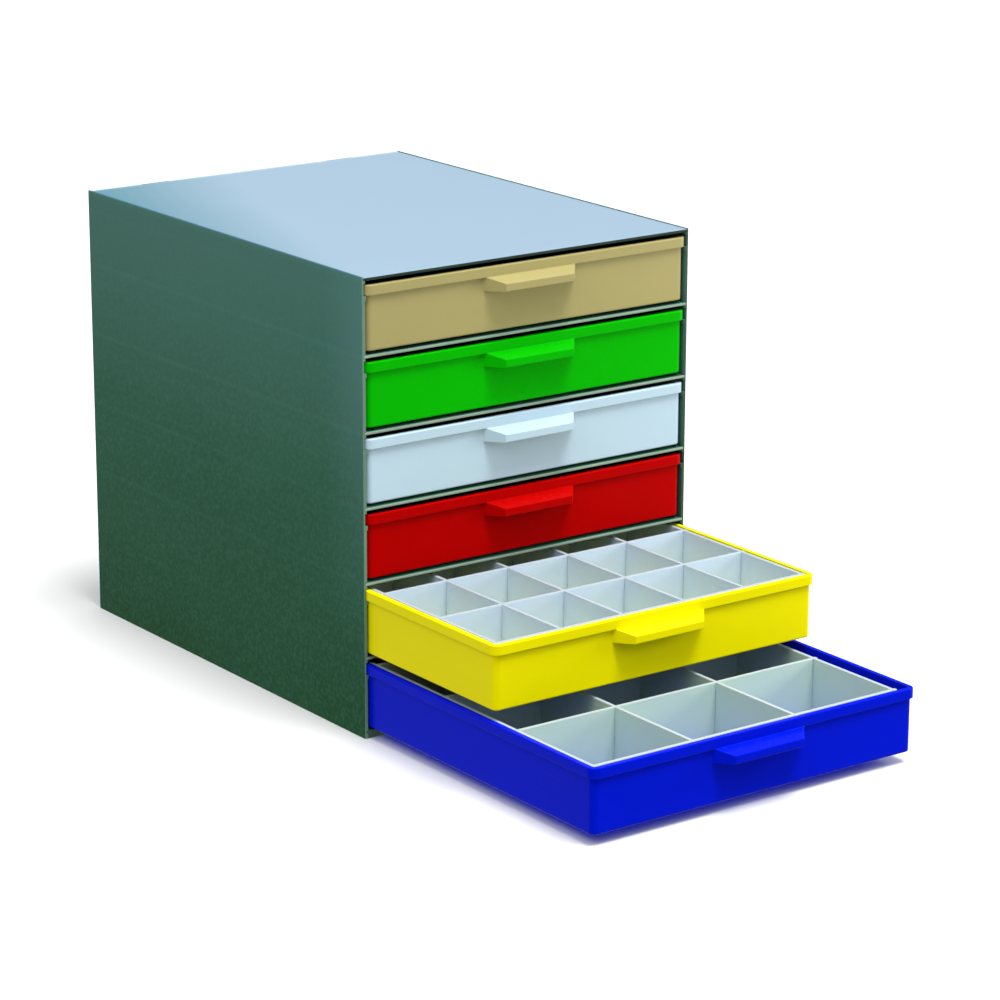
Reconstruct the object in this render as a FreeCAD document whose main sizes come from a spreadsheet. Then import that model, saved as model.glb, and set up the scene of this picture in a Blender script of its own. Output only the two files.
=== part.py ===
import FreeCAD, Part
import os
import Sketcher
from FreeCAD import Vector, Placement, Rotation

# Desktop cabinet with six drawers.
# Frame: X to the right, Y to the back, Z up, millimetres. The origin is the
# centre of the cabinet's footprint on the table. The drawer fronts face -Y.
# Two drawers are drawn out at rest: the yellow one (second from the bottom)
# and the blue one (bottom).

doc = FreeCAD.newDocument("drawer_cabinet")
sheet = doc.addObject("Spreadsheet::Sheet", "Dims")

# ---------------------------------------------------------------- dimensions
SIZES = [
    # cabinet
    ("cab_width", 278.0, "outer width over the side panels"),
    ("cab_depth", 363.0, "front edge of the sides to the outer face of the back"),
    ("level_pitch", 53.0, "height of one drawer level"),
    ("level_zero", 4.6, "centre of the base plate above the table"),
    ("sheet_thick", 2.2, "shelves, top plate and base plate"),
    ("wall_groove", 1.4, "side wall beside a drawer rim"),
    ("wall_slot", 1.4, "side wall left behind a shelf slot"),
    ("wall_band", 2.6, "side wall beside a drawer body"),
    ("runner_reach", 3.4, "side wall at a runner rib"),
    ("runner_low", 38.4, "underside of a runner rib above its level's centre"),
    ("runner_high", 41.6, "running surface above its level's centre"),
    ("ledge_low", 50.0, "underside of the ledge under the next shelf"),
    ("lip_rise", 0.5, "lip of sides and back above the top plate"),
    ("back_thick", 2.2, "back panel"),
    ("base_rib", 2.0, "ribs under the base plate"),
    ("base_cols", 5.0, "rib cells across"),
    ("base_rows", 6.0, "rib cells front to back"),
    ("tab_width", 24.0, "rear tab of a shelf"),
    ("tab_offset", 82.0, "tab centre from the middle plane"),
    ("tab_play", 0.1, "play round a tab in the back panel"),
    ("edge_round", 0.6, "rounding of outer panel edges"),
    # drawers
    ("drawer_rise", 3.3, "drawer bottom above its level's centre"),
    ("drawer_high", 45.6, "drawer bottom to rim top"),
    ("drawer_wide", 270.4, "drawer body width"),
    ("drawer_long", 356.2, "drawer body length"),
    ("drawer_set", 0.6, "closed drawer front behind the cabinet front"),
    ("drawer_wall", 2.0, "drawer wall"),
    ("drawer_floor", 2.0, "drawer floor"),
    ("corner_round", 4.5, "upright corners of the drawer body"),
    ("rim_high", 7.0, "height of the rim band"),
    ("rim_out", 1.9, "rim band outside the drawer body"),
    ("rim_round", 0.8, "rounding of the rim's top edge"),
    ("foot_round", 1.3, "rounding of the drawer's bottom edge"),
    ("cove_round", 0.5, "rounding where drawer walls meet the floor"),
    ("grip_root", 78.0, "finger ledge width at the drawer front"),
    ("grip_tip", 58.0, "finger ledge width at its free edge"),
    ("grip_reach", 12.6, "finger ledge in front of the drawer body"),
    ("grip_low", 29.0, "underside of the finger ledge above the drawer bottom"),
    ("grip_tip_top", 35.0, "top of the free edge above the drawer bottom"),
    ("grip_round", 0.7, "rounding of the finger ledge"),
    ("yellow_open", 147.2, "yellow drawer drawn out"),
    ("blue_open", 252.8, "blue drawer drawn out"),
    # divider grids
    ("strip_thick", 2.6, "divider strip"),
    ("strip_high", 43.2, "divider strip height"),
    ("strip_play", 0.3, "slot wider than the strip"),
    ("strip_start", 3.6, "front end of a long strip from the drawer front"),
    ("strip_tail", 14.0, "long strip behind the last cross strip"),
    ("yellow_first", 5.5, "first cross strip from the drawer front"),
    ("yellow_row", 65.0, "cross strip spacing, yellow drawer"),
    ("yellow_col", 52.1, "long strip spacing, yellow drawer"),
    ("yellow_half", 132.6, "half length of a cross strip, yellow drawer"),
    ("blue_first", 5.5, "first cross strip from the drawer front"),
    ("blue_row", 81.25, "cross strip spacing, blue drawer"),
    ("blue_long_a", -131.3, "long strip 1, blue drawer"),
    ("blue_long_b", -50.6, "long strip 2, blue drawer"),
    ("blue_long_c", 35.4, "long strip 3, blue drawer"),
    ("blue_long_d", 121.9, "long strip 4, blue drawer"),
    ("blue_left", -132.6, "left end of a cross strip, blue drawer"),
    ("blue_right", 124.4, "right end of a cross strip, blue drawer"),
]


class Dim(object):
    """A length that knows its value and the cell formula it comes from."""

    def __init__(self, val, txt, bound=True):
        self.val, self.txt, self.bound = float(val), txt, bound

    def _join(self, other, op, val):
        other = dim(other)
        return Dim(val, "(%s %s %s)" % (self.txt, op, other.txt),
                   self.bound or other.bound)

    def __add__(self, o): return self._join(o, "+", self.val + dim(o).val)
    def __sub__(self, o): return self._join(o, "-", self.val - dim(o).val)
    def __mul__(self, o): return self._join(o, "*", self.val * dim(o).val)
    def __truediv__(self, o): return self._join(o, "/", self.val / dim(o).val)
    def __radd__(self, o): return dim(o) + self
    def __rsub__(self, o): return dim(o) - self
    def __rmul__(self, o): return dim(o) * self
    def __neg__(self): return dim(-1) * self


def dim(x):
    return x if isinstance(x, Dim) else Dim(x, "(%r)" % float(x), False)


class Cells(object):
    pass


d = Cells()
for row, (alias, value, note) in enumerate(SIZES, start=1):
    sheet.set("A%d" % row, alias)
    sheet.set("B%d" % row, "%r" % value)
    sheet.setAlias("B%d" % row, alias)
    sheet.set("C%d" % row, note)
    setattr(d, alias, Dim(value, "Dims." + alias))
doc.recompute()


# ------------------------------------------------------------------- helpers
def bind(obj, prop, size):
    size = dim(size)
    if size.bound:
        obj.setExpression(prop, size.txt)


def new_body(label):
    body = doc.addObject("PartDesign::Body", label)
    body.Label = label
    return body


def origin_item(body, role):
    for item in body.Origin.OriginFeatures:
        if item.Role == role:
            return item
    raise ValueError(role)


def new_sketch(body, name, role, lift=None):
    sk = body.newObject("Sketcher::SketchObject", name)
    sk.AttachmentSupport = [(origin_item(body, role), "")]
    sk.MapMode = "FlatFace"
    if lift is not None:
        lift = dim(lift)
        sk.AttachmentOffset = Placement(Vector(0, 0, lift.val), Rotation())
        bind(sk, "AttachmentOffset.Base.z", lift)
    return sk


def fix(sk, kind, geo, pos, size):
    """Tie one coordinate of a sketch point to the origin."""
    size = dim(size)
    if not size.bound and size.val == 0.0:
        axis = -2 if kind == "DistanceX" else -1
        sk.addConstraint(Sketcher.Constraint("PointOnObject", geo, pos, axis))
        return
    n = sk.addConstraint(Sketcher.Constraint(kind, -1, 1, geo, pos, size.val))
    if size.bound:
        sk.setExpression("Constraints[%d]" % n, size.txt)


def polygon(sk, points):
    """Closed polygon; every corner is placed by its two coordinates."""
    pts = [(dim(x), dim(y)) for x, y in points]
    first = sk.GeometryCount
    n = len(pts)
    for i in range(n):
        a, b = pts[i], pts[(i + 1) % n]
        sk.addGeometry(Part.LineSegment(Vector(a[0].val, a[1].val, 0),
                                        Vector(b[0].val, b[1].val, 0)), False)
    for i in range(n):
        j = (i + 1) % n
        sk.addConstraint(Sketcher.Constraint("Coincident", first + i, 2, first + j, 1))
    for i in range(n):
        fix(sk, "DistanceX", first + i, 1, pts[i][0])
        fix(sk, "DistanceY", first + i, 1, pts[i][1])


def rectangle(sk, x0, y0, x1, y1):
    polygon(sk, [(x0, y0), (x1, y0), (x1, y1), (x0, y1)])


def rounded(sk, x0, y0, x1, y1, r):
    """Rectangle with four equal round corners."""
    x0, y0, x1, y1, r = [dim(v) for v in (x0, y0, x1, y1, r)]
    a, b, c, e, q = x0.val, y0.val, x1.val, y1.val, r.val
    f = sk.GeometryCount
    sk.addGeometry(Part.LineSegment(Vector(a + q, b, 0), Vector(c - q, b, 0)), False)
    sk.addGeometry(Part.LineSegment(Vector(c, b + q, 0), Vector(c, e - q, 0)), False)
    sk.addGeometry(Part.LineSegment(Vector(c - q, e, 0), Vector(a + q, e, 0)), False)
    sk.addGeometry(Part.LineSegment(Vector(a, e - q, 0), Vector(a, b + q, 0)), False)
    pi = 3.141592653589793
    for cx, cy, s in ((c - q, b + q, 1.5), (c - q, e - q, 0.0),
                      (a + q, e - q, 0.5), (a + q, b + q, 1.0)):
        circle = Part.Circle(Vector(cx, cy, 0), Vector(0, 0, 1), q)
        sk.addGeometry(Part.ArcOfCircle(circle, s * pi, (s + 0.5) * pi), False)
    C = Sketcher.Constraint
    for i in range(4):
        arc = f + 4 + i
        sk.addConstraint(C("Tangent", f + i, 2, arc, 1))
        sk.addConstraint(C("Tangent", arc, 2, f + (i + 1) % 4, 1))
    sk.addConstraint(C("Horizontal", f))
    sk.addConstraint(C("Vertical", f + 1))
    sk.addConstraint(C("Horizontal", f + 2))
    sk.addConstraint(C("Vertical", f + 3))
    for i in (1, 2, 3):
        sk.addConstraint(C("Equal", f + 4, f + 4 + i))
    n = sk.addConstraint(C("Radius", f + 4, q))
    if r.bound:
        sk.setExpression("Constraints[%d]" % n, r.txt)
    fix(sk, "DistanceY", f, 1, y0)
    fix(sk, "DistanceX", f + 1, 1, x1)
    fix(sk, "DistanceY", f + 2, 1, y1)
    fix(sk, "DistanceX", f + 3, 1, x0)


def pad(body, sk, name, length, back=False, both=False):
    f = body.newObject("PartDesign::Pad", name)
    f.Profile = sk
    length = dim(length)
    f.Length = length.val
    bind(f, "Length", length)
    f.Reversed = back
    if both:
        f.SideType = "Symmetric"
    sk.Visibility = False
    return f


def pocket(body, sk, name, length=None, back=False):
    """Cut to a depth, or through all both ways when no depth is given."""
    f = body.newObject("PartDesign::Pocket", name)
    f.Profile = sk
    if length is None:
        f.Type = "ThroughAll"
        f.SideType = "Symmetric"
    else:
        length = dim(length)
        f.Length = length.val
        bind(f, "Length", length)
    f.Reversed = back
    sk.Visibility = False
    return f


def pattern(body, feature, name, role, extent, count):
    f = body.newObject("PartDesign::LinearPattern", name)
    f.Originals = [feature]
    f.Direction = (origin_item(body, role), [""])
    extent = dim(extent)
    f.Length = extent.val
    bind(f, "Length", extent)
    f.Occurrences = count
    body.Tip = f
    return f


def round_edges(body, base, name, radius, choose):
    """Round the edges of base whose bounding box passes the test."""
    doc.recompute()
    names = []
    for i, edge in enumerate(base.Shape.Edges, start=1):
        if choose(edge, edge.BoundBox):
            names.append("Edge%d" % i)
    if not names:
        raise ValueError("no edges for " + name)
    f = body.newObject("PartDesign::Fillet", name)
    f.Base = (base, names)
    radius = dim(radius)
    f.Radius = radius.val
    bind(f, "Radius", radius)
    body.Tip = f
    return f


def place(body, x, y, z):
    x, y, z = dim(x), dim(y), dim(z)
    body.Placement = Placement(Vector(x.val, y.val, z.val), Rotation())
    bind(body, "Placement.Base.x", x)
    bind(body, "Placement.Base.y", y)
    bind(body, "Placement.Base.z", z)


def near(a, b, tol=0.01):
    return abs(a - b) < tol


parts = []

# ------------------------------------------------------------ cabinet levels
half_sheet = d.sheet_thick / 2
side_high = d.level_zero + 6 * d.level_pitch + half_sheet + d.lip_rise
inner_depth = d.cab_depth - d.back_thick
sheet_wide = d.cab_width - 2 * d.wall_slot


def level(k):
    """Height of the centre of shelf k; 0 is the base plate, 6 the top."""
    return d.level_zero + k * d.level_pitch


# --------------------------------------------------------------- side panels
# One moulding each: an outer wall with, on every level, a thicker band beside
# the drawer body, a runner rib that carries the drawer rim, a groove for the
# rim, a ledge and a slot for the next shelf. The rear edge is rebated for the
# back panel.
def side_panel(label, sign, x_place):
    body = new_body(label)
    s = dim(sign)
    over = d.runner_reach + 1

    sk = new_sketch(body, label + "_blank", "XZ_Plane")
    rectangle(sk, 0, 0, s * d.runner_reach, side_high)
    blank = pad(body, sk, label + "_wall", d.cab_depth, back=True)

    z = d.level_zero
    sk = new_sketch(body, label + "_bay", "XZ_Plane")
    polygon(sk, [
        (s * over, z + d.runner_high),
        (s * d.wall_groove, z + d.runner_high),
        (s * d.wall_groove, z + d.ledge_low),
        (s * d.wall_band, z + d.ledge_low),
        (s * d.wall_band, z + d.level_pitch - half_sheet),
        (s * d.wall_slot, z + d.level_pitch - half_sheet),
        (s * d.wall_slot, z + d.level_pitch + half_sheet),
        (s * d.wall_band, z + d.level_pitch + half_sheet),
        (s * d.wall_band, z + d.level_pitch + d.runner_low),
        (s * over, z + d.level_pitch + d.runner_low)])
    bay = pocket(body, sk, label + "_bay_cut")
    bays = pattern(body, bay, label + "_bays", "Z_Axis", 4 * d.level_pitch, 5)

    sk = new_sketch(body, label + "_foot", "XZ_Plane")
    polygon(sk, [
        (s * over, -1), (s * d.wall_band, -1),
        (s * d.wall_band, z - half_sheet), (s * d.wall_slot, z - half_sheet),
        (s * d.wall_slot, z + half_sheet), (s * d.wall_band, z + half_sheet),
        (s * d.wall_band, z + d.runner_low), (s * over, z + d.runner_low)])
    pocket(body, sk, label + "_foot_cut")

    z5 = level(5)
    sk = new_sketch(body, label + "_head", "XZ_Plane")
    polygon(sk, [
        (s * over, z5 + d.runner_high), (s * d.wall_groove, z5 + d.runner_high),
        (s * d.wall_groove, z5 + d.ledge_low), (s * d.wall_band, z5 + d.ledge_low),
        (s * d.wall_band, z5 + d.level_pitch - half_sheet),
        (s * d.wall_slot, z5 + d.level_pitch - half_sheet),
        (s * d.wall_slot, side_high + 1), (s * over, side_high + 1)])
    pocket(body, sk, label + "_head_cut")

    sk = new_sketch(body, label + "_rebate", "XY_Plane")
    rectangle(sk, s * d.wall_groove, inner_depth, s * over, d.cab_depth + 1)
    rebate = pocket(body, sk, label + "_rebate_cut")
    body.Tip = rebate

    # outer front, top and rear edges of the wall
    def outer(edge, bb):
        if not (near(bb.XMin, 0) and near(bb.XMax, 0)):
            return False
        upright = near(bb.YMin, bb.YMax) and bb.ZLength > 100
        along = near(bb.ZMin, side_high.val) and near(bb.ZMax, side_high.val)
        return upright or along
    round_edges(body, rebate, label + "_soft_edges", d.edge_round, outer)
    place(body, x_place, -d.cab_depth / 2, 0)
    parts.append(body)


side_panel("side_panel_left", 1, -d.cab_width / 2)
side_panel("side_panel_right", -1, d.cab_width / 2)


# ----------------------------------------------- shelves, top and base plate
def tabs(body, label, low):
    """Two tabs on the rear edge that pass through the back panel."""
    sk = new_sketch(body, label + "_tab_plan", "XY_Plane", low)
    for s in (-1, 1):
        mid = dim(s) * d.tab_offset
        rectangle(sk, mid - d.tab_width / 2, inner_depth - 1,
                  mid + d.tab_width / 2, d.cab_depth)
    return pad(body, sk, label + "_tabs", d.sheet_thick)


def flat_sheet(label, k, top=False):
    body = new_body(label)
    sk = new_sketch(body, label + "_plan", "XY_Plane")
    rectangle(sk, -sheet_wide / 2, 0, sheet_wide / 2, inner_depth)
    pad(body, sk, label + "_plate", d.sheet_thick)
    tip = tabs(body, label, 0)
    body.Tip = tip

    # the front edge is slightly rounded
    def front(edge, bb):
        return near(bb.YMin, 0) and near(bb.YMax, 0) and bb.XLength > 100
    round_edges(body, tip, label + "_soft_front", d.edge_round, front)
    place(body, 0, -d.cab_depth / 2, level(k) - half_sheet)
    parts.append(body)


for k in range(1, 6):
    flat_sheet("shelf_%d" % k, k)
flat_sheet("top_panel", 6, top=True)

# Base: the same plate on a low grid of ribs that stands on the table.
body = new_body("base_panel")
rib_wide = d.cab_width - 2 * d.wall_band
rib_high = d.level_zero - half_sheet
sk = new_sketch(body, "base_rib_plan", "XY_Plane")
rectangle(sk, -rib_wide / 2, 0, rib_wide / 2, inner_depth)
pad(body, sk, "base_ribs", rib_high)
sk = new_sketch(body, "base_plate_plan", "XY_Plane", rib_high)
rectangle(sk, -sheet_wide / 2, 0, sheet_wide / 2, inner_depth)
pad(body, sk, "base_plate", d.sheet_thick)
base_tabs = tabs(body, "base_panel", rib_high)
cell_x = (rib_wide - d.base_rib) / d.base_cols - d.base_rib
front_skirt = d.base_rib + d.back_thick
cell_y = (inner_depth - front_skirt) / d.base_rows - d.base_rib
sk = new_sketch(body, "base_cell_plan", "XY_Plane")
rectangle(sk, -rib_wide / 2 + d.base_rib, front_skirt,
          -rib_wide / 2 + d.base_rib + cell_x, front_skirt + cell_y)
cell = pocket(body, sk, "base_cell", rib_high, back=True)
f = body.newObject("PartDesign::LinearPattern", "base_cells")
f.Originals = [cell]
f.Direction = (origin_item(body, "X_Axis"), [""])
f.Direction2 = (origin_item(body, "Y_Axis"), [""])
ext_x = (cell_x + d.base_rib) * (d.base_cols - 1)
ext_y = (cell_y + d.base_rib) * (d.base_rows - 1)
f.Length = ext_x.val
f.Length2 = ext_y.val
bind(f, "Length", ext_x)
bind(f, "Length2", ext_y)
f.Occurrences = 5
f.Occurrences2 = 6
f.setExpression("Occurrences", "Dims.base_cols")
f.setExpression("Occurrences2", "Dims.base_rows")
body.Tip = f
place(body, 0, -d.cab_depth / 2, 0)
parts.append(body)
base_body, base_full = body, base_tabs

# Back panel between the rebated rear edges of the sides, with a slot for
# every tab.
body = new_body("back_panel")
sk = new_sketch(body, "back_face", "XZ_Plane")
back_half = d.cab_width / 2 - d.wall_groove
rectangle(sk, -back_half, 0, back_half, side_high)
pad(body, sk, "back_wall", d.back_thick, back=True)
sk = new_sketch(body, "back_slot_face", "XZ_Plane")
for s in (-1, 1):
    mid = dim(s) * d.tab_offset
    rectangle(sk, mid - d.tab_width / 2 - d.tab_play,
              d.level_zero - half_sheet - d.tab_play,
              mid + d.tab_width / 2 + d.tab_play,
              d.level_zero + half_sheet + d.tab_play)
slot = pocket(body, sk, "back_slot_pair")
pattern(body, slot, "back_slots", "Z_Axis", 6 * d.level_pitch, 7)
place(body, 0, d.cab_depth / 2 - d.back_thick, 0)
parts.append(body)


# ------------------------------------------------------------------- drawers
# Local frame: X = 0 in the middle, Y = 0 at the front face of the body,
# Z = 0 at the bottom.
def drawer(label, k, drawn):
    body = new_body(label)
    half = d.drawer_wide / 2
    wall = d.drawer_wall
    rim_low = d.drawer_high - d.rim_high

    sk = new_sketch(body, label + "_plan", "XY_Plane")
    rounded(sk, -half, 0, half, d.drawer_long, d.corner_round)
    shell = pad(body, sk, label + "_block", d.drawer_high)
    foot = round_edges(body, shell, label + "_soft_foot", d.foot_round,
                       lambda e, b: near(b.ZMin, 0) and near(b.ZMax, 0))

    sk = new_sketch(body, label + "_rim_plan", "XY_Plane", rim_low)
    o = d.rim_out
    rounded(sk, -half - o, -o, half + o, d.drawer_long + o, d.corner_round + o)
    rim = pad(body, sk, label + "_rim", d.rim_high)
    rim_soft = round_edges(
        body, rim, label + "_soft_rim", d.rim_round,
        lambda e, b: near(b.ZMin, d.drawer_high.val) and near(b.ZMax, d.drawer_high.val))

    # finger ledge: side profile, then both ends cut back at a slant
    sk = new_sketch(body, label + "_grip_profile", "YZ_Plane")
    polygon(sk, [(1, rim_low), (-o, rim_low), (-d.grip_reach, d.grip_tip_top),
                 (-d.grip_reach, d.grip_low + 0.2), (1, d.grip_low)])
    pad(body, sk, label + "_grip", d.grip_root, both=True)
    sk = new_sketch(body, label + "_grip_ends", "XY_Plane", rim_low)
    root, tip, reach = d.grip_root / 2, d.grip_tip / 2, d.grip_reach
    for s in (-1, 1):
        s = dim(s)
        polygon(sk, [(s * root, 0), (s * tip, -reach), (s * tip, -reach - 2),
                     (s * (root + 2), -reach - 2), (s * (root + 2), 0)])
    ends = pocket(body, sk, label + "_grip_cut", 12)
    grip = round_edges(
        body, ends, label + "_soft_grip", d.grip_round,
        lambda e, b: b.YMax < -2.0 - 0.2 and b.YMin < -12 and b.ZMax < rim_low.val + 0.1)

    # the inside
    sk = new_sketch(body, label + "_inside_plan", "XY_Plane", d.drawer_floor)
    rounded(sk, -half + wall, wall, half - wall, d.drawer_long - wall,
            d.corner_round - wall)
    inside = pocket(body, sk, label + "_inside", d.drawer_high, back=True)
    body.Tip = inside
    round_edges(
        body, inside, label + "_soft_floor", d.cove_round,
        lambda e, b: near(b.ZMin, d.drawer_floor.val) and near(b.ZMax, d.drawer_floor.val))
    place(body, 0, -d.cab_depth / 2 + d.drawer_set - drawn, level(k) + d.drawer_rise)
    parts.append(body)


drawer("drawer_beige", 5, dim(0))
drawer("drawer_green", 4, dim(0))
drawer("drawer_white", 3, dim(0))
drawer("drawer_red", 2, dim(0))
drawer("drawer_yellow", 1, d.yellow_open)
drawer("drawer_blue", 0, d.blue_open)


# ------------------------------------------------------------- divider grids
# Long strips run front to back with slots open at the top, cross strips run
# side to side with slots open at the bottom. They stand on the drawer floor.
slot_half = (d.strip_thick + d.strip_play) / 2
slot_deep = d.strip_high / 2 + d.strip_play


def long_strip(label, x, front, rows, count, k, drawn):
    body = new_body(label)
    length = front + rows * (count - 1) + d.strip_tail - d.strip_start
    sk = new_sketch(body, label + "_face", "YZ_Plane")
    rectangle(sk, 0, 0, length, d.strip_high)
    pad(body, sk, label + "_strip", d.strip_thick, both=True)
    sk = new_sketch(body, label + "_slot_face", "YZ_Plane")
    at = front - d.strip_start
    rectangle(sk, at - slot_half, d.strip_high - slot_deep,
              at + slot_half, d.strip_high + 1)
    slot = pocket(body, sk, label + "_slot")
    pattern(body, slot, label + "_slots", "Y_Axis", rows * (count - 1), count)
    place(body, x, -d.cab_depth / 2 + d.drawer_set - drawn + d.strip_start,
          level(k) + d.drawer_rise + d.drawer_floor)
    parts.append(body)


def cross_strip(label, left, right, stations, y, k, drawn):
    body = new_body(label)
    sk = new_sketch(body, label + "_face", "XZ_Plane")
    rectangle(sk, left, 0, right, d.strip_high)
    pad(body, sk, label + "_strip", d.strip_thick, both=True)
    sk = new_sketch(body, label + "_slot_face", "XZ_Plane")
    for x in stations:
        rectangle(sk, x - slot_half, -1, x + slot_half, slot_deep)
    slot = pocket(body, sk, label + "_slots")
    body.Tip = slot
    place(body, 0, -d.cab_depth / 2 + d.drawer_set - drawn + y,
          level(k) + d.drawer_rise + d.drawer_floor)
    parts.append(body)


yellow_x = [dim(i - 2.5) * d.yellow_col for i in range(6)]
for i, x in enumerate(yellow_x, start=1):
    long_strip("yellow_long_%d" % i, x, d.yellow_first, d.yellow_row, 6, 1,
               d.yellow_open)
for i in range(6):
    cross_strip("yellow_cross_%d" % (i + 1), -d.yellow_half, d.yellow_half,
                yellow_x, d.yellow_first + i * d.yellow_row, 1, d.yellow_open)

blue_x = [d.blue_long_a, d.blue_long_b, d.blue_long_c, d.blue_long_d]
for i, x in enumerate(blue_x, start=1):
    long_strip("blue_long_%d" % i, x, d.blue_first, d.blue_row, 5, 0,
               d.blue_open)
for i in range(5):
    cross_strip("blue_cross_%d" % (i + 1), d.blue_left, d.blue_right,
                blue_x, d.blue_first + i * d.blue_row, 0, d.blue_open)

# ------------------------------------------------------------------- checks
doc.recompute()
faults = []
for obj in doc.Objects:
    if "Invalid" in obj.State or "Error" in obj.State:
        faults.append(obj.Name + ": " + ", ".join(obj.State))
names = set()
for body in parts:
    shape = body.Shape
    if shape.isNull() or not shape.isValid():
        faults.append(body.Label + ": shape is null or not valid")
    elif len(shape.Solids) != 1:
        faults.append("%s: %d solids" % (body.Label, len(shape.Solids)))
    if body.Label in names:
        faults.append(body.Label + ": name used twice")
    names.add(body.Label)
# a cut that misses its solid shows no error, so the volumes are compared
for body in parts:
    for feature in body.Group:
        if feature.TypeId == "PartDesign::Pocket":
            before = feature.BaseFeature.Shape.Volume
            if before - feature.Shape.Volume < 1.0:
                faults.append(feature.Name + ": removes nothing")
if base_full.Shape.Volume - base_body.Shape.Volume < 25 * cell_x.val * cell_y.val * rib_high.val:
    faults.append("base cells are not all cut")
if faults:
    raise RuntimeError("; ".join(faults))

os.makedirs("parts", exist_ok=True)
for body in parts:
    body.Shape.exportStep("parts/%s.step" % body.Label)
    bb = body.Shape.BoundBox
    print("%-20s volume %10.1f  X %8.2f %8.2f  Y %8.2f %8.2f  Z %8.2f %8.2f" % (
        body.Label, body.Shape.Volume, bb.XMin, bb.XMax, bb.YMin, bb.YMax,
        bb.ZMin, bb.ZMax))
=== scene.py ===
import math

import bpy
from mathutils import Matrix, Vector


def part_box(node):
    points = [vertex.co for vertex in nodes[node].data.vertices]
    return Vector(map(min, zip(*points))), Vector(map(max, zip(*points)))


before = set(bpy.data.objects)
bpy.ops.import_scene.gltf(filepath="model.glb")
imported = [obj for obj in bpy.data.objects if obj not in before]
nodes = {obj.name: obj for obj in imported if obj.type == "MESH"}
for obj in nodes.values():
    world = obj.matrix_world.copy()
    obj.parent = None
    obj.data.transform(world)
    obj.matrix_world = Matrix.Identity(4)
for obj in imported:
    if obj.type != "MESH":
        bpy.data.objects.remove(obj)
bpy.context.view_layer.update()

scene = bpy.context.scene
scene.view_settings.view_transform = "Standard"
scene.view_settings.look = "None"

# ------------------------------------------------------------------- layout
# Heights of the shelf centres, in metres, read from the CAD pieces.
shelf_z = []
for name in ["shelf_%d" % k for k in range(1, 6)]:
    lo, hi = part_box(name)
    shelf_z.append((lo.z + hi.z) / 2)
pitch = shelf_z[1] - shelf_z[0]
level_z = shelf_z[0] - pitch

# ------------------------------------------------------------------- camera
cam_data = bpy.data.cameras.new("photo_camera")
cam = bpy.data.objects.new("photo_camera", cam_data)
scene.collection.objects.link(cam)
cam_data.sensor_width = 36.0
cam_data.sensor_fit = "AUTO"
cam_data.lens = 130.35
cam_data.clip_start = 0.05
cam_data.clip_end = 200.0
right = Vector((0.808993, -0.587808, 0.002892)).normalized()
ahead = Vector((0.565387, 0.776774, -0.277444)).normalized()
ahead = (ahead - right * ahead.dot(right)).normalized()
up = right.cross(ahead)
turn = Matrix((right, up, -ahead)).transposed()
cam.matrix_world = Matrix.Translation((-1.44461, -2.13181, 0.84853)) @ turn.to_4x4()
scene.camera = cam


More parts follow.
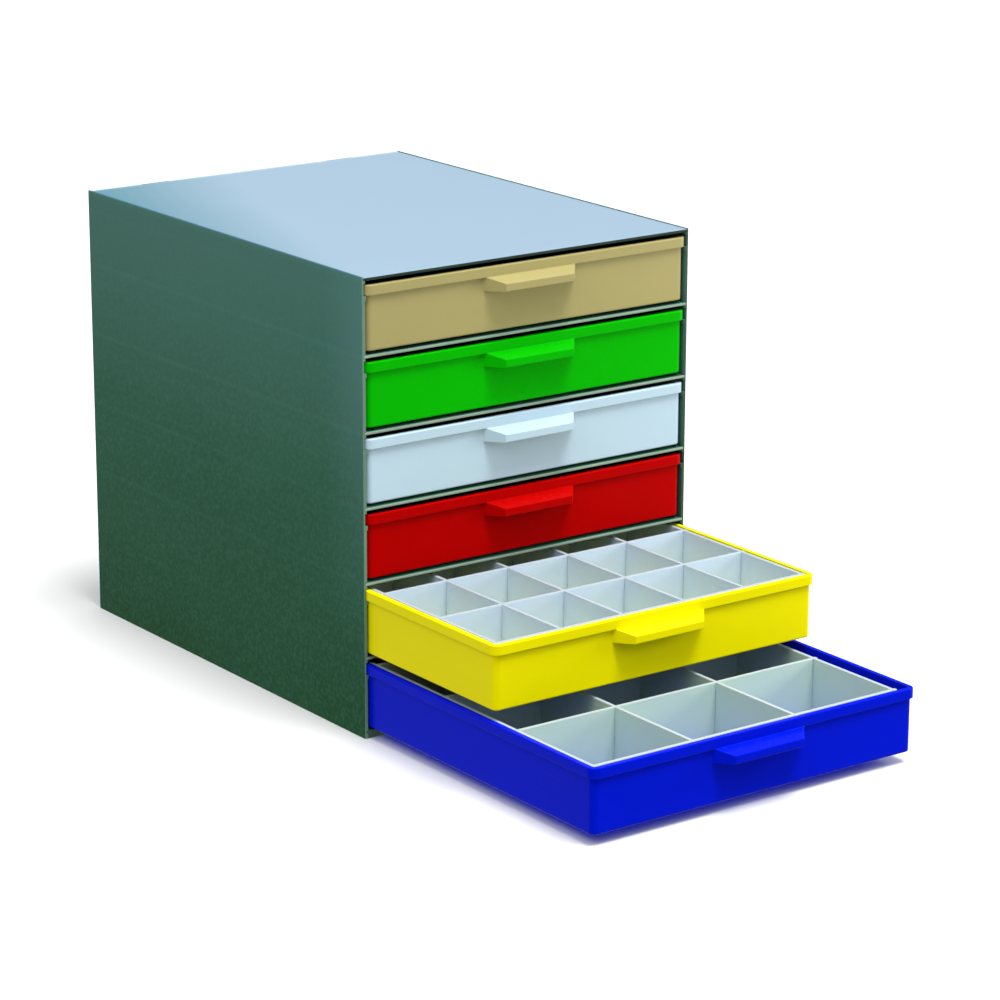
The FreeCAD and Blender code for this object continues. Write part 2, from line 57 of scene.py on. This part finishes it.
# ---------------------------------------------------------------- materials
class Tree(object):
    """Short names for building a node tree."""

    def __init__(self, name):
        self.mat = bpy.data.materials.new(name)
        self.mat.use_nodes = True
        self.nt = self.mat.node_tree
        self.nt.nodes.clear()
        self.out = self.nt.nodes.new("ShaderNodeOutputMaterial")
        self.bsdf = self.nt.nodes.new("ShaderNodeBsdfPrincipled")
        self.link(self.bsdf.outputs[0], self.out.inputs["Surface"])
        self.coord = self.nt.nodes.new("ShaderNodeTexCoord").outputs["Object"]

    def link(self, a, b):
        self.nt.links.new(a, b)

    def put(self, sock, value):
        if isinstance(value, bpy.types.NodeSocket):
            self.link(value, sock)
        else:
            sock.default_value = value

    def scaled(self, scale, offset=(0, 0, 0)):
        """Object coordinates, stretched along the axes."""
        m = self.nt.nodes.new("ShaderNodeMapping")
        self.link(self.coord, m.inputs["Vector"])
        m.inputs["Scale"].default_value = scale
        m.inputs["Location"].default_value = offset
        return m.outputs["Vector"]

    def noise(self, vec, scale, detail=2.0, rough=0.5, distortion=0.0):
        n = self.nt.nodes.new("ShaderNodeTexNoise")
        self.link(vec, n.inputs["Vector"])
        n.inputs["Scale"].default_value = scale
        n.inputs["Detail"].default_value = detail
        n.inputs["Roughness"].default_value = rough
        n.inputs["Distortion"].default_value = distortion
        return n.outputs["Fac"]

    def ramp(self, fac, lo, hi, a=0.0, b=1.0):
        """fac from lo..hi mapped to a..b, clamped."""
        n = self.nt.nodes.new("ShaderNodeMapRange")
        self.link(fac, n.inputs["Value"])
        n.inputs["From Min"].default_value = lo
        n.inputs["From Max"].default_value = hi
        n.inputs["To Min"].default_value = a
        n.inputs["To Max"].default_value = b
        return n.outputs["Result"]

    def math(self, op, a, b=0.0, c=0.0, clamp=False):
        n = self.nt.nodes.new("ShaderNodeMath")
        n.operation = op
        n.use_clamp = clamp
        self.put(n.inputs[0], a)
        self.put(n.inputs[1], b)
        self.put(n.inputs[2], c)
        return n.outputs[0]

    def mix(self, fac, a, b):
        n = self.nt.nodes.new("ShaderNodeMix")
        n.data_type = "RGBA"
        self.put(n.inputs["Factor"], fac)
        self.put(n.inputs[6], a)
        self.put(n.inputs[7], b)
        return n.outputs[2]

    def axis(self, which):
        n = self.nt.nodes.new("ShaderNodeSeparateXYZ")
        self.link(self.coord, n.inputs[0])
        return n.outputs[which]

    def band(self, value, centre, half):
        """1 within half of centre, soft towards the ends."""
        d = self.math("ABSOLUTE", self.math("SUBTRACT", value, centre))
        return self.ramp(d, 0.0, half, 1.0, 0.0)

    def edges(self, radius, samples=6):
        """0 on flat areas and up to 1 at the edges, from the rounded normal."""
        bev = self.nt.nodes.new("ShaderNodeBevel")
        bev.samples = samples
        bev.inputs["Radius"].default_value = radius
        geo = self.nt.nodes.new("ShaderNodeNewGeometry")
        dot = self.nt.nodes.new("ShaderNodeVectorMath")
        dot.operation = "DOT_PRODUCT"
        self.link(bev.outputs["Normal"], dot.inputs[0])
        self.link(geo.outputs["Normal"], dot.inputs[1])
        return self.ramp(dot.outputs["Value"], 0.98, 0.70), bev.outputs["Normal"]

    def bump(self, height, strength, distance, normal=None):
        n = self.nt.nodes.new("ShaderNodeBump")
        n.inputs["Strength"].default_value = strength
        n.inputs["Distance"].default_value = distance
        self.link(height, n.inputs["Height"])
        if normal is not None:
            self.link(normal, n.inputs["Normal"])
        return n.outputs["Normal"]


def shade(c, f):
    return tuple(min(1.0, max(0.0, x * f)) for x in c[:3]) + (1.0,)


def moulded(name, base, rough=0.32, light=None, wear=0.25, slide=False,
            spec=0.30, tint=(1.0, 1.0, 1.0), dull=0.05, seed=0.0, grain=1.0):
    """Injection-moulded plastic: slow tone changes, a fine moulded grain,
    rubbed edges that also carry a painted highlight, hairline scratches and a
    trace of dust on upward faces."""
    t = Tree(name)
    base = tuple(base[:3]) + (1.0,)
    light = tuple(light[:3]) + (1.0,) if light else shade(base, 1.25)
    at = t.scaled((1, 1, 1), (seed, seed * 0.7, seed * 0.3))
    slow = t.noise(at, 7.0, 3.0, 0.55)
    flow = t.noise(t.scaled((3.0, 0.9, 6.0), (seed, 0, 0)), 9.0, 3.0, 0.5, 0.6)
    tone = t.math("ADD", t.math("MULTIPLY", slow, 0.6), t.math("MULTIPLY", flow, 0.4))
    colour = t.mix(t.ramp(tone, 0.30, 0.70), shade(base, 1.0 - dull), shade(base, 1.0 + dull))

    # rubbed edges: wear, and a painted highlight along the edges in the light colour
    edge, soft_normal = t.edges(0.0007)
    patchy = t.noise(at, 60.0, 4.0, 0.6)
    rub_and_highlight = t.math("MULTIPLY", edge, t.ramp(patchy, 0.35, 0.65, 0.35, 1.0))
    colour = t.mix(t.math("MULTIPLY", rub_and_highlight, wear), colour, light)

    # dust on upward faces
    geo = t.nt.nodes.new("ShaderNodeNewGeometry")
    sep = t.nt.nodes.new("ShaderNodeSeparateXYZ")
    t.link(geo.outputs["Normal"], sep.inputs[0])
    upward = t.ramp(sep.outputs[2], 0.75, 1.0)
    specks = t.noise(at, 420.0, 3.0, 0.7)
    dust = t.math("MULTIPLY", upward, t.ramp(specks, 0.50, 0.80, 0.0, 0.014))
    colour = t.mix(dust, colour, (0.62, 0.62, 0.58, 1.0))
    t.link(colour, t.bsdf.inputs["Base Color"])

    # hairline scratches, along the sliding direction where a drawer slides
    stretch = (90.0, 1.0, 90.0) if slide else (30.0, 2.0, 30.0)
    lines = t.noise(t.scaled(stretch, (seed, 0, seed)), 22.0, 2.0, 0.5)
    scratch = t.ramp(lines, 0.60, 0.85)
    smudge = t.noise(at, 16.0, 3.0, 0.5)
    r = t.math("ADD", rough - 0.03, t.math("MULTIPLY", smudge, 0.06))
    r = t.math("ADD", r, t.math("MULTIPLY", scratch, 0.05))
    r = t.math("ADD", r, t.math("MULTIPLY", dust, 0.3), clamp=True)
    t.link(r, t.bsdf.inputs["Roughness"])

    # moulded grain and slight waviness of the sheet
    grain_tex = t.noise(at, 800.0, 2.0, 0.5)
    wavy = t.noise(at, 14.0, 2.0, 0.5)
    n = t.bump(wavy, 0.05, 0.004, soft_normal)
    n = t.bump(grain_tex, 0.07 * grain, 0.00008, n)
    t.link(n, t.bsdf.inputs["Normal"])
    t.bsdf.inputs["IOR"].default_value = 1.49
    t.bsdf.inputs["Specular IOR Level"].default_value = spec
    t.bsdf.inputs["Specular Tint"].default_value = tuple(tint) + (1.0,)
    return t


# Cabinet plastic: a dark grey-green moulding whose front faces and top carry
# painted light, paler, and on some pieces painted shade, darker. On the side walls,
# sink marks show faintly outside where the shelf slots and runners are on the inside.
def cabinet(name, base, rough, seed, top=None, edge=None, walls=False, spec=0.30,
            tint=(1.0, 1.0, 1.0), wear=0.22, brim_painted_light=None, lid_painted_shade=None):
    t = moulded(name, base, rough=rough, wear=wear, light=(0.24, 0.34, 0.30),
                dull=0.06, seed=seed, spec=spec, tint=tint)
    colour = t.bsdf.inputs["Base Color"].links[0].from_socket
    geo = t.nt.nodes.new("ShaderNodeNewGeometry")
    sep = t.nt.nodes.new("ShaderNodeSeparateXYZ")
    t.link(geo.outputs["Normal"], sep.inputs[0])
    z = t.axis(2)
    if walls:
        # position within one level, 0 at a shelf centre
        rel = t.math("SUBTRACT", z, level_z - pitch / 2)
        rel = t.math("SUBTRACT", t.math("MODULO", rel, pitch), pitch / 2)
        slot_mark = t.band(rel, 0.0, 0.0026)
        runner_mark = t.band(rel, 0.0400 - pitch, 0.0030)
        sink = t.math("ADD", slot_mark, t.math("MULTIPLY", runner_mark, 0.35), clamp=True)
        waver = t.noise(t.scaled((1, 6, 1)), 5.0, 2.0, 0.5)
        sink = t.math("MULTIPLY", sink, t.ramp(waver, 0.25, 0.75, 0.35, 1.0))
        colour = t.mix(t.math("MULTIPLY", sink, 0.32), colour, shade(base, 1.8))
        # painted shade: the walls darken towards the foot, in uneven patches
        foot_painted_shade = t.ramp(z, 0.0, 0.30, 0.97, 0.0)
        patch = t.noise(t.scaled((1, 1, 2)), 6.0, 3.0, 0.55)
        foot_painted_shade = t.math("MULTIPLY", foot_painted_shade, t.ramp(patch, 0.3, 0.7, 0.85, 1.0))
        colour = t.mix(foot_painted_shade, colour, (base[0] * 0.12, base[1] * 0.42, base[2] * 0.12, 1.0))
        # painted light: the walls are paler and bluer towards the top
        colour = t.mix(t.ramp(z, 0.17, 0.33, 0.0, 0.55), colour,
                       (base[0] * 2.1, base[1] * 1.35, base[2] * 1.9, 1.0))
        # painted light: the front margin is paler, more so higher up
        front_margin_painted_light = t.math("MULTIPLY", t.ramp(t.axis(1), -0.135, -0.182, 0.0, 0.45),
                        t.ramp(z, 0.05, 0.26, 0.0, 1.0))
        colour = t.mix(front_margin_painted_light, colour, (base[0] * 2.6, base[1] * 1.7, base[2] * 2.5, 1.0))
        fleck = t.noise(t.coord, 340.0, 3.0, 0.65)
        colour = t.mix(t.ramp(fleck, 0.42, 0.72, 0.0, 0.30), colour, shade(base, 1.6))
        normal = t.bsdf.inputs["Normal"].links[0].from_socket
        t.link(t.bump(t.math("MULTIPLY", sink, -1.0), 0.35, 0.00025, normal),
               t.bsdf.inputs["Normal"])
    if edge is not None:
        # painted light and shade: front-facing faces take the edge colour, paler where it stands
        # in for lit front edges, darker where it stands in for shadowed ones
        front_painted_shading = t.ramp(t.math("MULTIPLY", sep.outputs[1], -1.0), 0.55, 0.85)
        front_shading_patches = t.noise(t.coord, 35.0, 3.0, 0.6)
        front_painted_shading = t.math("MULTIPLY", front_painted_shading, t.ramp(front_shading_patches, 0.3, 0.7, 0.75, 1.0))
        colour = t.mix(front_painted_shading, colour, tuple(edge) + (1.0,))
    high = t.ramp(z, 0.3205, 0.3215)
    if top is not None:
        # painted light: upward faces at the very top take the top colour, which stands in for
        # the light and sky they get from above; on the side walls it is a dark bluish line
        up = t.ramp(sep.outputs[2], 0.6, 0.9)
        painted_top_light = tuple(top) + (1.0,)
        if lid_painted_shade is not None:
            # painted shade: the sheet is a little darker towards its left rear corner
            far = t.math("ADD", t.math("MULTIPLY", t.axis(0), -1.0),
                         t.math("MULTIPLY", t.axis(1), 0.35))
            drift = t.noise(t.coord, 5.0, 2.0, 0.5)
            far = t.math("ADD", far, t.math("MULTIPLY", drift, 0.04))
            painted_top_light = t.mix(t.ramp(far, 0.10, 0.21, 0.0, 0.95), painted_top_light, tuple(lid_painted_shade) + (1.0,))
        colour = t.mix(t.math("MULTIPLY", up, high), colour, painted_top_light)
    if brim_painted_light is not None:
        # painted highlight: the top brim of the back panel takes a pale colour for the light it
        # catches
        colour = t.mix(high, colour, tuple(brim_painted_light) + (1.0,))
    t.link(colour, t.bsdf.inputs["Base Color"])
    return t


GREY = (0.037, 0.134, 0.089)
# The next two colours are painted light: a paler colour for front faces and a paler, bluer
# colour for the top.
FRONT_PAINTED_LIGHT = (0.310, 0.390, 0.310)
TOP_PAINTED_LIGHT = (0.292, 0.402, 0.503)
GREEN_TINT = (0.35, 0.75, 0.60)
mats = {}
# Painted light and shade per piece: the left wall's and the shelves' front edges are paler; the
# right wall's, the base's and the top panel's front edges are darker; the wall tops take a dark
# bluish colour.
mats["left"] = cabinet("cabinet_wall_left", GREY, 0.40, 1.3, top=(0.045, 0.120, 0.190),
                       edge=(0.150, 0.250, 0.180), walls=True, spec=0.06, tint=GREEN_TINT)
mats["right"] = cabinet("cabinet_wall_right", GREY, 0.40, 8.3, top=(0.045, 0.120, 0.190),
                        edge=(0.050, 0.080, 0.055), walls=True, spec=0.06, tint=GREEN_TINT)
mats["plate"] = cabinet("cabinet_plate", GREY, 0.36, 2.1, edge=FRONT_PAINTED_LIGHT, tint=GREEN_TINT,
                        spec=0.15)
mats["base"] = cabinet("cabinet_base", GREY, 0.40, 2.6, edge=(0.05, 0.08, 0.06),
                       tint=GREEN_TINT, wear=0.10, spec=0.15)
mats["top"] = cabinet("cabinet_top", GREY, 0.32, 3.7, top=TOP_PAINTED_LIGHT, edge=(0.012, 0.018, 0.015),
                      spec=0.22, wear=0.05, lid_painted_shade=(0.105, 0.250, 0.310))
mats["back"] = cabinet("cabinet_back", GREY, 0.42, 4.9, brim_painted_light=(0.70, 0.78, 0.82))
mats["beige"] = moulded("drawer_beige_plastic", (0.382, 0.333, 0.130), rough=0.30, slide=True,
                        light=(0.85, 0.78, 0.55), wear=0.50, dull=0.03, seed=5.2,
                        tint=(1.0, 0.92, 0.70))
mats["green"] = moulded("drawer_green_plastic", (0.0015, 0.435, 0.0003), rough=0.27, slide=True,
                        light=(0.08, 0.85, 0.06), wear=0.40, dull=0.04, seed=6.4,
                        tint=(0.10, 1.0, 0.06), spec=0.12)
mats["white"] = moulded("drawer_white_plastic", (0.480, 0.640, 0.750), rough=0.30, slide=True,
                        light=(0.85, 0.92, 0.95), wear=0.40, dull=0.02, seed=7.5)
mats["red"] = moulded("drawer_red_plastic", (0.435, 0.0003, 0.0002), rough=0.27, slide=True,
                      light=(0.85, 0.03, 0.02), wear=0.35, dull=0.04, seed=8.6,
                      tint=(1.0, 0.05, 0.03), spec=0.08)
mats["yellow"] = moulded("drawer_yellow_plastic", (0.850, 0.765, 0.0004), rough=0.27, slide=True,
                         light=(1.00, 0.95, 0.04), wear=0.45, dull=0.03, seed=9.7,
                         tint=(1.0, 0.95, 0.05), spec=0.06)
mats["blue"] = moulded("drawer_blue_plastic", (0.0003, 0.0078, 0.590), rough=0.25, slide=True,
                       light=(0.02, 0.14, 0.95), wear=0.50, dull=0.04, seed=10.8,
                       tint=(0.02, 0.20, 1.0), spec=0.05)


def strip(name, base, seed):
    """Divider sheet: a smoother plastic whose top faces take a darker painted shade against the
    light from above, while their edges keep a whiter painted highlight.
    """
    t = moulded(name, base, rough=0.32, light=(0.92, 0.95, 0.96), wear=0.35,
                dull=0.02, seed=seed, grain=0.5)
    geo = t.nt.nodes.new("ShaderNodeNewGeometry")
    sep = t.nt.nodes.new("ShaderNodeSeparateXYZ")
    t.link(geo.outputs["Normal"], sep.inputs[0])
    colour = t.bsdf.inputs["Base Color"].links[0].from_socket
    # painted shade: upward faces take a darker colour than the sheet
    colour = t.mix(t.ramp(sep.outputs[2], 0.6, 0.9), colour, (0.42, 0.48, 0.53, 1.0))
    t.link(colour, t.bsdf.inputs["Base Color"])
    return t


mats["yellow_divider"] = strip("divider_plastic_upper", (0.545, 0.670, 0.860), 11.9)
mats["blue_divider"] = strip("divider_plastic_lower", (0.545, 0.710, 0.580), 13.1)

use = {"side_panel_left": "left", "side_panel_right": "right", "top_panel": "top",
       "base_panel": "base", "back_panel": "back"}
for k in range(1, 6):
    use["shelf_%d" % k] = "plate"
for colour in ("beige", "green", "white", "red", "yellow", "blue"):
    use["drawer_" + colour] = colour
for name in nodes:
    if name not in use:
        use[name] = name.split("_")[0] + "_divider"
for name, obj in nodes.items():
    obj.data.materials.clear()
    obj.data.materials.append(mats[use[name]].mat)

# -------------------------------------------------------------------- floor
def floor_material():
    t = Tree("floor_paper")
    soft = t.noise(t.coord, 1.2, 2.0, 0.5)
    t.link(t.mix(soft, (0.735, 0.735, 0.74, 1.0), (0.755, 0.755, 0.755, 1.0)),
           t.bsdf.inputs["Base Color"])
    t.link(t.ramp(t.noise(t.coord, 40.0, 3.0), 0.3, 0.7, 0.75, 0.85),
           t.bsdf.inputs["Roughness"])
    t.bsdf.inputs["Specular IOR Level"].default_value = 0.2
    return t.mat


mesh = bpy.data.meshes.new("floor")
s = 60.0
mesh.from_pydata([(-s, -s, 0), (s, -s, 0), (s, s, 0), (-s, s, 0)], [], [(0, 1, 2, 3)])
floor = bpy.data.objects.new("floor", mesh)
scene.collection.objects.link(floor)
floor.location.z = -0.0002
mesh.materials.append(floor_material())
# the light that the floor throws back comes from the lower half of the studio
floor.visible_diffuse = False
floor.visible_glossy = False

# ------------------------------------------------------------------- lights
def sun(name, towards, energy, angle, colour=(1, 1, 1)):
    data = bpy.data.lights.new(name, "SUN")
    data.energy = energy
    data.angle = math.radians(angle)
    data.color = colour
    obj = bpy.data.objects.new(name, data)
    scene.collection.objects.link(obj)
    obj.matrix_world = (Vector(towards).normalized().to_track_quat("Z", "Y")
                        .to_matrix().to_4x4())
    return obj


def panel(name, place, target, size, watts):
    """A soft rectangular light that the camera doesn't see."""
    data = bpy.data.lights.new(name, "AREA")
    data.shape = "SQUARE"
    data.size = size
    data.energy = watts
    obj = bpy.data.objects.new(name, data)
    scene.collection.objects.link(obj)
    towards = Vector(place) - Vector(target)
    obj.matrix_world = (Matrix.Translation(place) @
                        towards.to_track_quat("Z", "Y").to_matrix().to_4x4())
    obj.visible_camera = False
    return obj


sun("overhead_light", (0.06, -0.30, 0.95), 2.9, 24.0, (1.0, 1.0, 0.99))
panel("right_panel", (0.80, -0.66, 0.34), (0.08, -0.18, 0.15), 0.3, 3.6)
panel("left_panel", (-1.30, -0.62, 1.28), (0.0, -0.30, 0.10), 0.8, 5.8)

world = bpy.data.worlds.new("studio")
scene.world = world
world.use_nodes = True
wt = world.node_tree
wt.nodes.clear()
w_out = wt.nodes.new("ShaderNodeOutputWorld")
w_bg = wt.nodes.new("ShaderNodeBackground")
wt.links.new(w_bg.outputs[0], w_out.inputs["Surface"])
w_co = wt.nodes.new("ShaderNodeTexCoord")
# a white room, brighter overhead
w_dot = wt.nodes.new("ShaderNodeVectorMath")
w_dot.operation = "DOT_PRODUCT"
wt.links.new(w_co.outputs["Generated"], w_dot.inputs[0])
w_dot.inputs[1].default_value = (0.0, -0.10, 0.995)
w_map = wt.nodes.new("ShaderNodeMapRange")
wt.links.new(w_dot.outputs["Value"], w_map.inputs["Value"])
w_map.inputs["From Min"].default_value = 0.25
w_map.inputs["From Max"].default_value = 0.80
w_map.inputs["To Min"].default_value = 0.04
w_map.inputs["To Max"].default_value = 1.25
w_low = wt.nodes.new("ShaderNodeMapRange")
wt.links.new(w_dot.outputs["Value"], w_low.inputs["Value"])
w_low.inputs["From Min"].default_value = -0.08
w_low.inputs["From Max"].default_value = 0.04
w_low.inputs["To Min"].default_value = 0.76
w_low.inputs["To Max"].default_value = 0.0
w_sum = wt.nodes.new("ShaderNodeMath")
w_sum.operation = "ADD"
wt.links.new(w_map.outputs["Result"], w_sum.inputs[0])
wt.links.new(w_low.outputs["Result"], w_sum.inputs[1])
wt.links.new(w_sum.outputs[0], w_bg.inputs["Strength"])
w_bg.inputs["Color"].default_value = (0.98, 0.99, 1.0, 1.0)

# ------------------------------------------------------------------ closing
bpy.context.view_layer.update()
